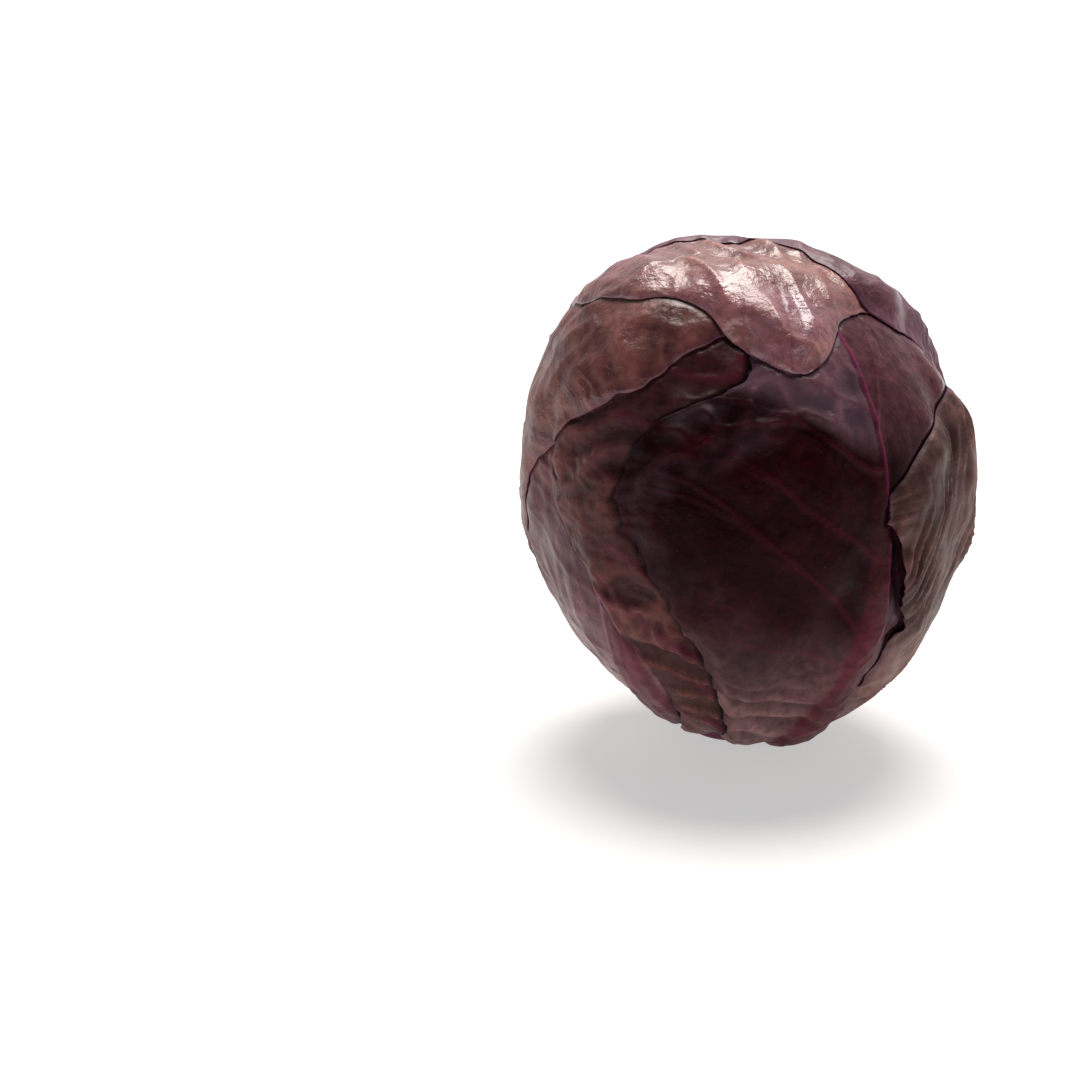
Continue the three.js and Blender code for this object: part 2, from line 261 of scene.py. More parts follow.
def chart_point(leaf, along, across):
    climbed = (along + VEIN_CLIMB * np.sin(math.pi * along)) * (math.pi - TIP_GAP)
    omega = np.where(across > 0, climbed - math.pi / 2, 1.5 * math.pi - climbed)
    edge_x, edge_y = margin_point(leaf, omega)
    tip = upper_reach(leaf, np.array(math.pi / 2))
    spine = (1 + tip) * along - 1
    share = np.abs(across)
    return share * edge_x, spine + (edge_y - spine) * share ** 1.2


def outside_margin(leaf, around, sideways):
    half = np.where(sideways > 0, leaf.right, leaf.left)
    x = sideways / half
    above = around - leaf.widest
    rise = leaf.tip - leaf.widest
    omega = np.arctan2(above / rise, x)
    margin = upper_reach(leaf, omega) * np.hypot(half * np.cos(omega), rise * np.sin(omega))
    over = np.hypot(sideways, above) - margin
    fall = leaf.widest - math.radians(15)
    drop = -above / fall
    below_omega = np.where(sideways > 0, -drop * math.pi / 2, math.pi + drop * math.pi / 2)
    beside = (np.abs(x) - lower_half_width(leaf, drop, below_omega)) * half
    under = np.maximum(beside, (drop - 1) * fall)
    return np.where(above >= 0, over, under) * SURFACE_RADIUS


def keel(leaf, around, sideways, spread):
    share = np.clip(around / leaf.tip, 0, 1)
    half_width = 1 + RIB_HALF_WIDTH * (1 - share) + spread
    return leaf.rib * (1 - share) ** RIB_FADE * np.exp(-((sideways * SURFACE_RADIUS / half_width) ** 2))


def ruffle(leaf, around, sideways, outside):
    near = np.exp(-((np.minimum(0, outside) / RUFFLE_REACH) ** 2))
    wave = 0.55 + 0.45 * np.sin(14 * around + 9 * sideways + leaf.phase)
    left, right = leaf.ruffle
    lift = left + (right - left) * smoothstep(0.5 + sideways)
    return lift * near * wave * smoothstep((around - math.radians(20)) / math.radians(25))


def underside(order, d):
    height = np.full(len(d), CLEARANCE)
    for leaf in LEAVES[:order]:
        around, sideways = angles_of(leaf, d)
        outside = outside_margin(leaf, around, sideways)
        cover = 1 - smoothstep((outside - SHOULDER) / SLOPE)
        rib = keel(leaf, around, sideways, RIB_SPREAD)
        height += cover * (LAYER + rib + ruffle(leaf, around, sideways, outside))
    return height


def generic_veins(leaf):
    """Side veins that leave the midrib in turn, left and right, and climb towards the margin."""
    rng = np.random.default_rng(int(leaf.phase * 100))
    top = math.degrees(leaf.tip) - 14
    veins = []
    for side in (-1, 1):
        half = math.degrees(leaf.left if side < 0 else leaf.right)
        for start in np.linspace(30, top - 12, 8):
            start += rng.uniform(-3, 3) + 3 * side
            end = min(start + rng.uniform(22, 46), top + 8)
            veins.append((start, end, side * half * 0.98, rng.uniform(0.35, 0.6)))
    return veins


def vein_field(leaf, around, sideways, points):
    """Height of the side veins and how strongly they colour the blade, with the distance to the nearest."""
    height = np.zeros(len(around))
    tint = np.zeros(len(around))
    nearest = np.full(len(around), 99.0)
    sway = 1.2 * waves(points, 26, 7) + 0.5 * waves(points, 9, 8)
    for start, end, end_side, rise in leaf.veins or generic_veins(leaf):
        for fork in (0, 1):
            share = sideways / math.radians(end_side)
            t = np.clip(share, 0, 1.15)
            shift = -math.radians(13) * fork * smoothstep((t - 0.4) / 0.8)
            path = math.radians(start) + math.radians(end - start) * t ** 1.25 + shift
            slope = math.radians(end - start) * 1.25 * t ** 0.25 / abs(math.radians(end_side))
            distance = np.abs((around - path) * SURFACE_RADIUS + sway) / np.sqrt(1 + slope ** 2)
            width = leaf.look.get("vein_width", 1.0) * (1.9 - 0.9 * t)
            fade = smoothstep((share + 0.02) / 0.04) * (1 - smoothstep((share - 0.85) / 0.3))
            if fork:
                fade = fade * smoothstep((share - 0.38) / 0.12) * 0.7
            form = fade * np.exp(-((distance / width) ** 2))
            height = np.maximum(height, leaf.look.get("vein_rise", 1.0) * rise * form * (1 - 0.45 * t))
            tint = np.maximum(tint, form * (1 - 0.6 * t))
            nearest = np.minimum(nearest, np.where(fade > 0.2, distance, 99))
    return height, tint, nearest


def relief(leaf, around, sideways, points):
    """What stands out of the blade's even surface: quilting between veins, wrinkles, ripples and crumples."""
    look = leaf.look
    flat = np.stack([sideways * SURFACE_RADIUS, around * SURFACE_RADIUS], 1)
    total = np.zeros(len(around))
    broad = waves(points, 30, int(leaf.phase * 10) + 1)
    total += 0.35 * broad
    total += look.get("blister", 0) * 0.45 * waves(points, 11, int(leaf.phase * 10) + 2)
    if "crown_blister" in look:
        zone = smoothstep((around - math.radians(112)) / math.radians(12))
        zone = zone * smoothstep((0.1 - sideways) / 0.3)
        total += look["crown_blister"] * zone * (0.6 - np.abs(waves(points, 7, 31)))
    if "base_ripple" in look:
        zone = 1 - smoothstep((around - math.radians(38)) / math.radians(14))
        bent = flat[:, 1] + 0.12 * np.abs(flat[:, 0]) + 1.6 * waves(points, 18, 33)
        fold = np.sin(bent / 1.5 + 1.5 * waves(points, 13, 34))
        total += look["base_ripple"] * zone * fold * np.clip(np.abs(flat[:, 0]) / 14, 0, 1)
    if "wrinkle" in look:
        total += look["wrinkle"] * (0.55 - np.abs(waves(flat * [1.0, 0.35], 7, int(leaf.phase * 10) + 3)))
    if "pleat" in look:
        slant = np.stack([flat[:, 0] - 0.25 * flat[:, 1], 0.16 * flat[:, 1]], 1)
        slant = slant + waves(points, 14, 40)[:, None]
        depth = 0.65 + 0.35 * waves(points, 20, 42)
        total += look["pleat"] * depth * (0.85 - np.sqrt(waves(slant, 5.0, 41) ** 2 + 0.08))
    if "crumple" in look:
        zone = 1 - smoothstep((around - math.radians(66)) / math.radians(22))
        folds = waves(flat * [0.55, 1.0] + waves(points, 15, 50)[:, None], 11.0, 51)
        small = waves(flat + waves(points, 9, 52)[:, None], 5.0, 53)
        crease = np.sqrt(folds ** 2 + 0.1) + 0.25 * np.sqrt(small ** 2 + 0.2)
        total += look["crumple"] * (0.3 + 0.7 * zone) * (0.9 - crease)
    return total


def midrib(leaf, around, sideways):
    """Height of the midrib over the blade, and where it colours: along its crest and its steep sides."""
    left, right = leaf.look.get("steep", (0.0, 0.0))
    share = np.clip(around / leaf.tip, 0, 1)
    wide_left, wide_right = leaf.look.get("rib_wide", (1.0, 1.0))
    wide = np.where(sideways > 0, wide_right, wide_left)
    aside = sideways * SURFACE_RADIUS / (1 + RIB_HALF_WIDTH * (1 - share)) / wide
    steep = np.where(aside > 0, right, left)
    form = (1 - steep) * np.exp(-(aside ** 2)) + steep * (1 - smoothstep((np.abs(aside) - 0.6) / 0.5))
    crest = np.exp(-(((aside - leaf.look.get("crest", 0)) * (1 + RIB_HALF_WIDTH * (1 - share)) / 0.9) ** 2))
    height = leaf.rib * (1 - share) ** RIB_FADE * form + 0.5 * crest * (1 - 0.6 * share)
    flank = steep ** 3 * np.exp(-(((np.abs(aside) - 0.92) / 0.2) ** 2))
    tint = np.maximum(flank, crest * (0.35 + 0.65 * smoothstep((share - 0.35) / 0.25)))
    bright = flank * (sideways < 0) * (1 - smoothstep((around - math.radians(62)) / math.radians(20)))
    if "crest" in leaf.look:
        bright = np.maximum(bright, crest * (0.5 + 0.5 * share))
    return height, tint, bright


class Surface:
    """The outermost surface so far, as distances from the centre over a grid of directions."""

    def __init__(self):
        polar = np.linspace(0, math.pi, DIRECTION_STEPS + 1)
        turn = np.linspace(-math.pi, math.pi, 2 * DIRECTION_STEPS + 1)
        polar, turn = (grid.ravel() for grid in np.meshgrid(polar, turn, indexing="ij"))
        out = np.sin(polar)
        self.directions = np.stack([out * np.sin(turn), -out * np.cos(turn), -np.cos(polar)], 1)
        self.distance = heart_radius(self.directions)

    def under(self, d):
        """Distances of the surface along directions d, straight between the grid's own."""
        wide = 2 * DIRECTION_STEPS + 1
        row = np.arccos(np.clip(-d[:, 2], -1, 1)) / math.pi * DIRECTION_STEPS
        column = (np.arctan2(d[:, 0], -d[:, 1]) + math.pi) / math.pi * DIRECTION_STEPS
        r = np.minimum(row.astype(int), DIRECTION_STEPS - 1)
        c = np.minimum(column.astype(int), 2 * DIRECTION_STEPS - 1)
        v, u = row - r, column - c
        corner = r * wide + c
        near = self.distance[corner] * (1 - u) + self.distance[corner + 1] * u
        far = self.distance[corner + wide] * (1 - u) + self.distance[corner + wide + 1] * u
        return near * (1 - v) + far * v

    def add_leaf(self, order):
        leaf = LEAVES[order]
        around, sideways = angles_of(leaf, self.directions)
        covered = (outside_margin(leaf, around, sideways) < 0) & (around > 0.1)
        d = self.directions[covered]
        _, above, _ = leaf_faces(order, around[covered], sideways[covered], d, self.distance[covered])
        self.distance[covered] = np.maximum(self.distance[covered], above)


def beside_margins(order, d):
    """How close a point of a leaf lies to the margin of a leaf over it, weighted by that leaf's strength: 1
    right beside it, 0 away. By this much the point is dented and painted near black as shade.
    """
    close = np.zeros(len(d))
    for leaf in LEAVES[order + 1:]:
        around, sideways = angles_of(leaf, d)
        outside = outside_margin(leaf, around, sideways)
        left, right = leaf.look.get("groove_shade", (0.45, 0.45))
        share = left + (right - left) * smoothstep(0.5 + 3 * sideways)
        close = np.maximum(close, share * np.exp(-(((outside - 0.5) / GROOVE_WIDTH) ** 2)))
    return close


def leaf_faces(order, around, sideways, d, support):
    """Distances of a leaf's inner and outer face where `support` lies under it, and what colours it."""
    leaf = LEAVES[order]
    points = d * SURFACE_RADIUS
    outside = outside_margin(leaf, around, sideways)
    inset = np.maximum(0, -outside)
    calm = smoothstep((around - math.radians(20)) / math.radians(12))
    vein, tint, nearest = vein_field(leaf, around, sideways, points)
    lift = np.clip(relief(leaf, around, sideways, points), -1.6, 2.2) * calm
    wanted = heart_radius(d) + underside(order, d) + ruffle(leaf, around, sideways, outside) + lift
    hug_left, hug_right = leaf.look.get("hug", (0.95, 0.95))
    hug = hug_left + (hug_right - hug_left) * smoothstep(0.5 + sideways)
    free_from, free_to = leaf.look.get("free", (0, 180))
    low = smoothstep((math.radians(free_from) - around) / math.radians(14))
    high = smoothstep((around - math.radians(free_to)) / math.radians(12))
    hug = np.maximum(hug, 0.93 * np.maximum(low, high))
    rise = wanted - support - FINE_GAP
    rise = (rise + np.sqrt(rise ** 2 + 0.1)) / 2
    below = support + FINE_GAP + rise * (1 - hug * np.exp(-((inset / HUG_REACH) ** 2)))
    thickness = EDGE_THICKNESS + (FINE_BLADE - EDGE_THICKNESS) * smoothstep(inset / EDGE_REACH)
    quilt = 0.8 * leaf.look.get("blister", 0) * smoothstep(nearest / 7) * smoothstep(inset / HUG_REACH)
    ridge, ridge_tint, flank = midrib(leaf, around, sideways)
    # Beside the margin of a leaf over this one: a dent in the surface, and painted shade in the colour
    shade = beside_margins(order, d)
    above = below + thickness + calm * (vein + quilt) + ridge - GROOVE_DEPTH * shade
    below = np.minimum(below, above - EDGE_THICKNESS)
    # Painted light, partly with waxy skin: the main leaf is lighter above its big side vein and on its right
    # side, the other leaves higher up the head
    if "painted_light_over" in leaf.look:
        start, end, end_side = leaf.look["painted_light_over"]
        line = start + (end - start) * np.clip(sideways / math.radians(end_side), 0, 1.4) ** 1.25
        high_up = smoothstep((around - np.radians(line)) / math.radians(9))
    else:
        high_up = smoothstep((around - math.radians(112)) / math.radians(35))
    marks = {
        "shade": shade,
        "rib": np.maximum(tint * leaf.look.get("vein_tint", 0.7), ridge_tint),
        "flank": flank,
        "panel": smoothstep(nearest / 6),
        "edge": np.exp(-inset / 0.9),
        "base": 1 - smoothstep((around - math.radians(22)) / math.radians(50)),
        "bloom": smoothstep(0.5 + 0.5 * waves(points, 34, int(leaf.phase * 10) + 5)),
        "high": smoothstep((lift + 0.9) / 2.4),
        "upper": np.maximum(high_up, leaf.look.get("painted_light_right", 0) * smoothstep((sideways - 0.06) / 0.2)),
        "pale": high_up * (sideways < 0),
        "ridge": smoothstep(ridge / 1.2) * smoothstep(1.4 - around / leaf.tip * 1.6),
    }
    return below, above, marks


def leaf_end(order, sideways):
    """How far round the head a leaf ends below: at the cut, or against the stalk where that comes first."""
    leaf = LEAVES[order]
    low = np.full(len(sideways), math.radians(8))
    high = np.full(len(sideways), math.radians(60))
    for _ in range(9):
        around = (low + high) / 2
        d = direction_of(leaf, around, sideways)
        inner = heart_radius(d) + underside(order, d)
        under_cut = inner * -d[:, 2] > WIDEST_LEVEL - TRIM_LEVEL
        in_stalk = inner * np.hypot(d[:, 0], d[:, 1]) < ATTACH_RADIUS
        beyond = under_cut | in_stalk
        low = np.where(beyond, around, low)
        high = np.where(beyond, high, around)
    return high


def grid_points(order, along, across):
    """Angles and direction of the grid points of a leaf, the lowest of them at its end."""
    leaf = LEAVES[order]
    x, y = chart_point(leaf, along, across)
    sideways = x * np.where(x > 0, leaf.right, leaf.left)
    down = -y * (leaf.widest - math.radians(15))
    furthest = leaf.widest - leaf_end(order, sideways)
    down = -END_CROWDING * np.logaddexp(-down / END_CROWDING, -furthest / END_CROWDING)
    around = np.where(y > 0, leaf.widest + y * (leaf.tip - leaf.widest), leaf.widest - down)
    return around, sideways, direction_of(leaf, around, sideways)


def leaf_mesh(order, surface):
    leaf = LEAVES[order]
    rows, columns = leaf.rows, leaf.columns
    g = np.linspace(-1, 1, columns + 1)
    # Columns crowd towards the midrib and again towards the margins.
    across_line = np.sign(g) * (0.75 * np.abs(g) ** 1.15 + 0.25 * np.sin(np.abs(g) * math.pi / 2))
    across, along = np.meshgrid(across_line, np.linspace(0, 1, rows + 1) ** 1.12)
    across, along = across.ravel(), along.ravel()
    around, sideways, d = grid_points(order, along, across)
    below, above, marks = leaf_faces(order, around, sideways, d, surface.under(d))
    limit = (WIDEST_LEVEL - TRIM_LEVEL) / np.maximum(-d[:, 2], 0.01)
    faces = [d * np.minimum(distance, limit)[:, None] + CENTRE for distance in (below, above)]
    marks["cut"] = smoothstep((above - limit) / 0.5)
    vertices = np.concatenate(faces) * MM
    return vertices, shell_quads(rows, columns), {name: np.tile(value, 2) for name, value in marks.items()}


def shell_quads(rows, columns):
    wide = columns + 1
    per_face = wide * (rows + 1)
    row, column = np.meshgrid(np.arange(rows), np.arange(columns), indexing="ij")
    a = (row * wide + column).ravel()
    quad = np.stack([a, a + 1, a + 1 + wide, a + wide], 1)
    rim = list(range(columns))
    rim += [r * wide + columns for r in range(rows)]
    rim += [rows * wide + c for c in range(columns, 0, -1)]
    rim += [r * wide for r in range(rows, 0, -1)]
    rim = np.array(rim)
    after = np.roll(rim, -1)
    side = np.stack([rim, after, after + per_face, rim + per_face], 1)
    return np.concatenate([quad[:, ::-1], quad + per_face, side])


def make_object(name, vertices, quads, marks, material):
    mesh = bpy.data.meshes.new(name)
    mesh.from_pydata(vertices.tolist(), [], quads.tolist())
    for label, values in marks.items():
        layer = mesh.attributes.new(label, "FLOAT", "POINT")
        layer.data.foreach_set("value", np.ascontiguousarray(values, dtype=np.float32))
    mesh.polygons.foreach_set("use_smooth", np.ones(len(mesh.polygons), dtype=bool))
    mesh.materials.append(material)
    mesh.update()
    obj = bpy.data.objects.new(name, mesh)
    bpy.context.scene.collection.objects.link(obj)
    return obj


class Shader:
    """A principled material under construction."""

    def __init__(self, name, roughness, specular=0.5):
        self.material = bpy.data.materials.new(name)
        self.material.use_nodes = True
        self.nodes = self.material.node_tree.nodes
        self.links = self.material.node_tree.links
        self.surface = self.nodes["Principled BSDF"]
        self.surface.inputs["Roughness"].default_value = roughness
        self.surface.inputs["Specular IOR Level"].default_value = specular

    def mark(self, name):
        node = self.nodes.new("ShaderNodeAttribute")
        node.attribute_name = name
        return node.outputs["Fac"]

    def noise(self, size, detail=3.0, stretch=None):
        """Noise whose features are about `size` millimetres across."""
        node = self.nodes.new("ShaderNodeTexNoise")
        node.inputs["Scale"].default_value = 1000 / size
        node.inputs["Detail"].default_value = detail
        self.links.new(self.place(stretch), node.inputs["Vector"])
        return node.outputs["Fac"]

    def cells(self, size, sway):
        """Distance to the walls of irregular cells, a net of fine veins that sway by so many millimetres."""
        wander = self.nodes.new("ShaderNodeTexNoise")
        wander.inputs["Scale"].default_value = 1000 / (size * 0.9)
        self.links.new(self.place(None), wander.inputs["Vector"])
        bend = self.nodes.new("ShaderNodeVectorMath")
        bend.operation = "MULTIPLY_ADD"
        bend.inputs[1].default_value = (sway * MM, sway * MM, sway * MM)
        self.links.new(wander.outputs["Color"], bend.inputs[0])
        self.links.new(self.place(None), bend.inputs[2])
        node = self.nodes.new("ShaderNodeTexVoronoi")
        node.feature = "DISTANCE_TO_EDGE"
        node.inputs["Scale"].default_value = 1000 / size
        self.links.new(bend.outputs["Vector"], node.inputs["Vector"])
        return node.outputs["Distance"]

    def place(self, stretch):
        coordinates = self.nodes.new("ShaderNodeTexCoord").outputs["Object"]
        if stretch is None:
            return coordinates
        mapping = self.nodes.new("ShaderNodeMapping")
        mapping.inputs["Scale"].default_value = stretch
        self.links.new(coordinates, mapping.inputs["Vector"])
        return mapping.outputs["Vector"]

    def span(self, value, low, high, out_low=0.0, out_high=1.0):
        node = self.nodes.new("ShaderNodeMapRange")
        node.inputs["From Min"].default_value = low
        node.inputs["From Max"].default_value = high
        node.inputs["To Min"].default_value = out_low
        node.inputs["To Max"].default_value = out_high
        self.links.new(value, node.inputs["Value"])
        return node.outputs["Result"]

    def math(self, kind, a, b):
        node = self.nodes.new("ShaderNodeMath")
        node.operation = kind
        for socket, value in zip(node.inputs, (a, b)):
            if isinstance(value, (int, float)):
                socket.default_value = value
            else:
                self.links.new(value, socket)
        return node.outputs["Value"]

    def mix(self, factor, a, b, kind="MIX"):
        node = self.nodes.new("ShaderNodeMix")
        node.data_type = "RGBA"
        node.blend_type = kind
        for socket, value in ((node.inputs[0], factor), (node.inputs[6], a), (node.inputs[7], b)):
            if isinstance(value, (int, float)):
                socket.default_value = value
            elif isinstance(value, tuple):
                socket.default_value = (*value, 1.0)
            else:
                self.links.new(value, socket)
        return node.outputs[2]

    def bump(self, height, distance, under=None):
        node = self.nodes.new("ShaderNodeBump")
        node.inputs["Distance"].default_value = distance * MM
        node.inputs["Strength"].default_value = 1.0
        self.links.new(height, node.inputs["Height"])
        if under is not None:
            self.links.new(under, node.inputs["Normal"])
        return node.outputs["Normal"]

    def finish(self, color, roughness=None, normal=None):
        self.links.new(color, self.surface.inputs["Base Color"])
        if roughness is not None:
            self.links.new(roughness, self.surface.inputs["Roughness"])
        if normal is not None:
            self.links.new(normal, self.surface.inputs["Normal"])
        return self.material


# Colours in linear light
MAGENTA = (0.17, 0.011, 0.052)
FUCHSIA = (0.25, 0.012, 0.12)
VIOLET = (0.13, 0.030, 0.12)
PALE_CUT = (0.50, 0.36, 0.34)


class Tone:
    """Colours of a leaf: dark and lighter ground, skin near the crown, skin near the base, midrib and bloom.
    The skin near the crown is partly painted light from above, and the skin near the base partly painted
    light bounced off the floor.

    `polish` is how much smoother the skin is near the crown, `flank` how bright the midrib's left side and
    crest are, and `edge` how violet the margin is. `contrast` paints shade in the hollows and light on the
    ridges, `panels` darkens the blade beside the veins, and `haze` spreads the bloom over the skin near the
    crown."""

    def __init__(self, deep, warm, upper, base, rib, bloom, bloom_share, rough, specular,
                 polish=0.0, flank=0.0, edge=0.3, contrast=(0.72, 1.22), panels=0.3, haze=0.0):
        self.deep = deep
        self.warm = warm
        self.upper = upper
        self.base = base
        self.rib = rib
        self.bloom = bloom
        self.bloom_share = bloom_share
        self.rough = rough
        self.specular = specular
        self.polish = polish
        self.flank = flank
        self.edge = edge
        self.contrast = contrast
        self.panels = panels
        self.haze = haze


# The upper colours are partly painted light from above: a lit lilac grey on the main leaf, a pale cream painted
# highlight on the crown leaf
TONES = {
    "inner": Tone((0.055, 0.008, 0.018), (0.11, 0.024, 0.032), (0.12, 0.033, 0.040), (0.20, 0.10, 0.11),
                  (0.15, 0.03, 0.05), (0.22, 0.13, 0.20), 0.25, 0.38, 0.25),
    "main": Tone((0.014, 0.0008, 0.0022), (0.032, 0.0035, 0.006), (0.150, 0.056, 0.070), (0.31, 0.165, 0.16),
                 (0.095, 0.018, 0.022), (0.20, 0.14, 0.20), 0.10, 0.46, 0.05, polish=0.26, edge=0.1,
                 contrast=(0.6, 1.35), panels=0.0, haze=0.3, flank=0.38),
    "crumpled": Tone((0.046, 0.010, 0.011), (0.11, 0.033, 0.028), (0.11, 0.024, 0.028), (0.21, 0.080, 0.066),
                     (0.11, 0.03, 0.035), (0.17, 0.08, 0.09), 0.12, 0.46, 0.14, polish=0.08,
                     contrast=(0.48, 1.48), panels=0.0),
    "left_low": Tone((0.065, 0.009, 0.019), (0.14, 0.036, 0.040), (0.13, 0.036, 0.044), (0.42, 0.24, 0.23),
                     (0.13, 0.013, 0.026), (0.30, 0.20, 0.24), 0.18, 0.38, 0.2, flank=0.5),
    "left": Tone((0.125, 0.034, 0.034), (0.18, 0.060, 0.052), (0.205, 0.070, 0.062), (0.18, 0.07, 0.065),
                 (0.17, 0.03, 0.045), (0.34, 0.17, 0.16), 0.16, 0.42, 0.4, polish=0.06,
                 contrast=(0.78, 1.16), panels=0.4),
    "weathered": Tone((0.055, 0.019, 0.017), (0.20, 0.095, 0.078), (0.17, 0.06, 0.055), (0.18, 0.090, 0.075),
                      (0.15, 0.05, 0.05), (0.24, 0.15, 0.15), 0.25, 0.50, 0.2,
                      contrast=(0.5, 1.4), panels=0.1),
    "crown": Tone((0.100, 0.024, 0.028), (0.19, 0.066, 0.056), (0.38, 0.145, 0.130), (0.20, 0.08, 0.08),
                  (0.24, 0.05, 0.07), (0.34, 0.15, 0.27), 0.40, 0.36, 0.8, polish=0.04),
    "back": Tone((0.075, 0.018, 0.026), (0.130, 0.040, 0.044), (0.20, 0.078, 0.12), (0.17, 0.065, 0.06),
                 (0.17, 0.03, 0.05), (0.30, 0.15, 0.26), 0.22, 0.42, 0.35, polish=0.04),
}


def leaf_material(name, net_share=0.5, crinkle=0.12):
    tone = TONES[name]
    shader = Shader("leaf_" + name, tone.rough, tone.specular)
    upper = shader.mark("upper")
    patches = shader.span(shader.noise(38, 4), 0.35, 0.68)
    color = shader.mix(patches, tone.deep, tone.warm)
    # Lighter skin near the crown: partly waxy skin, partly painted light from the lamp overhead, and on the
    # crown leaf a painted highlight
    color = shader.mix(shader.math("MULTIPLY", upper, 0.75), color, tone.upper)
    # Paler near the base: partly the paler skin of the leaf base, partly painted light bounced off the floor
    color = shader.mix(shader.math("MULTIPLY", shader.mark("base"), 0.85), color, tone.base)
    color = shader.mix(shader.math("MULTIPLY", shader.mark("ridge"), 0.8), color, tone.rib)
    mottling = shader.span(shader.noise(3.2, 6), 0.3, 0.75, 0.62, 1.35)
    color = shader.mix(1.0, color, mottling, "MULTIPLY")
    # Painted shade and light: the colour is darker in the hollows of the relief and lighter on its crests
    relief_shade = shader.span(shader.mark("high"), 0.0, 1.0, *tone.contrast)
    color = shader.mix(1.0, color, relief_shade, "MULTIPLY")
    if tone.panels:
        panel_shade = shader.span(shader.mark("panel"), 0.0, 1.0, 1 - tone.panels, 1 + 0.4 * tone.panels)
        color = shader.mix(1.0, color, panel_shade, "MULTIPLY")
    waxy = shader.math("MULTIPLY", shader.mark("bloom"), shader.span(shader.noise(14, 6), 0.38, 0.66))
    waxy = shader.math("MULTIPLY", waxy, tone.bloom_share)
    if tone.haze:
        waxy = shader.math("MAXIMUM", waxy, shader.math("MULTIPLY", shader.mark("pale"), tone.haze))
    color = shader.mix(waxy, color, tone.bloom)
    net = shader.span(shader.cells(8.5, 7.0), 0.0, 0.05, 1.0, 0.0)
    fine_net = shader.span(shader.cells(3.0, 2.5), 0.0, 0.08, 1.0, 0.0)
    veins = shader.math("ADD", shader.math("MULTIPLY", net, 0.7), shader.math("MULTIPLY", fine_net, 0.3))
    veins = shader.math("MULTIPLY", veins, shader.span(shader.noise(24, 3), 0.4, 0.6, 0.0, 0.25 * net_share))
    color = shader.mix(veins, color, MAGENTA)
    color = shader.mix(shader.math("MULTIPLY", shader.mark("rib"), 0.45), color, MAGENTA)
    color = shader.mix(shader.math("MULTIPLY", shader.mark("flank"), tone.flank), color, FUCHSIA)
    color = shader.mix(shader.math("MULTIPLY", shader.mark("edge"), tone.edge), color, VIOLET)
    # Painted shade: near black beside the margin of a leaf that lies over this one
    color = shader.mix(shader.math("MULTIPLY", shader.mark("shade"), 0.95), color, (0.003, 0.001, 0.001))
    color = shader.mix(shader.mark("cut"), color, PALE_CUT)
    specks = shader.span(shader.noise(0.9, 2), 0.70, 0.78)
    color = shader.mix(shader.math("MULTIPLY", specks, 0.2), color, tone.bloom)
    dull = shader.span(shader.noise(16, 5), 0.35, 0.7, tone.rough - 0.05, tone.rough + 0.16)
    dull = shader.math("SUBTRACT", dull, shader.math("MULTIPLY", upper, tone.polish))
    normal = shader.bump(shader.noise(2.2, 4), 0.16)
    normal = shader.bump(shader.noise(9, 8), 0.9, normal)
    normal = shader.bump(shader.noise(4.5, 3), crinkle, normal)
    normal = shader.bump(veins, 0.45, normal)
    return shader.finish(color, dull, normal)


def pith_material():
    shader = Shader("cut_stalk", 0.62, specular=0.4)
    rings = shader.noise(2.5, 4, (1, 1, 0.25))
    color = shader.mix(shader.span(rings, 0.3, 0.7), (0.42, 0.30, 0.24), (0.62, 0.52, 0.42))
    rim = shader.span(shader.mark("rim"), 0.72, 0.98)
    color = shader.mix(rim, color, (0.16, 0.035, 0.07))
    return shader.finish(color, None, shader.bump(rings, 0.25))


def lathe(profile, sides, bumpiness, seed):
    """A closed turned form through (radius, level) points that start and end on the axis."""
    profile = np.array(profile, dtype=float)
    turn = np.linspace(0, 2 * math.pi, sides, endpoint=False)
    rings = []
    for radius, level in profile[1:-1]:
        ring = np.stack([radius * np.cos(turn), radius * np.sin(turn), np.full(sides, level)], 1)
        rings.append(ring)
    points = np.concatenate(rings)
    if bumpiness:
        outward = points * [1, 1, 0]
        outward /= np.linalg.norm(outward, axis=1)[:, None]
        points = points + outward * (bumpiness * waves(points, 14, seed))[:, None]
    ends = np.array([[0, 0, profile[0][1]], [0, 0, profile[-1][1]]])
    first, last = len(points), len(points) + 1
    faces = []
    for i in range(len(rings) - 1):
        for j in range(sides):
            k = (j + 1) % sides
            faces.append((i * sides + j, i * sides + k, (i + 1) * sides + k, (i + 1) * sides + j))
    base = (len(rings) - 1) * sides
    for j in range(sides):
        k = (j + 1) % sides
        faces.append((first, k, j))
        faces.append((last, base + j, base + k))
    return np.concatenate([points, ends]), faces


def turned_object(name, profile, sides, material, bumpiness=0.0, seed=1, leaning=False):
    points, faces = lathe(profile, sides, bumpiness, seed)
    if leaning:
        middle = np.array([0, 0, WIDEST_LEVEL])
        out = points - middle
        points = middle + out * lean(out / np.linalg.norm(out, axis=1)[:, None])[:, None]
    mesh = bpy.data.meshes.new(name)
    mesh.from_pydata(((points + [CENTRE[0], CENTRE[1], 0]) * MM).tolist(), [], faces)
    widest = max(radius for radius, _ in profile)
    layer = mesh.attributes.new("rim", "FLOAT", "POINT")
    layer.data.foreach_set("value", (np.hypot(points[:, 0], points[:, 1]) / widest).astype(np.float32))
    mesh.polygons.foreach_set("use_smooth", np.ones(len(mesh.polygons), dtype=bool))
    mesh.materials.append(material)
    mesh.update()
    obj = bpy.data.objects.new(name, mesh)
    bpy.context.scene.collection.objects.link(obj)
    return obj


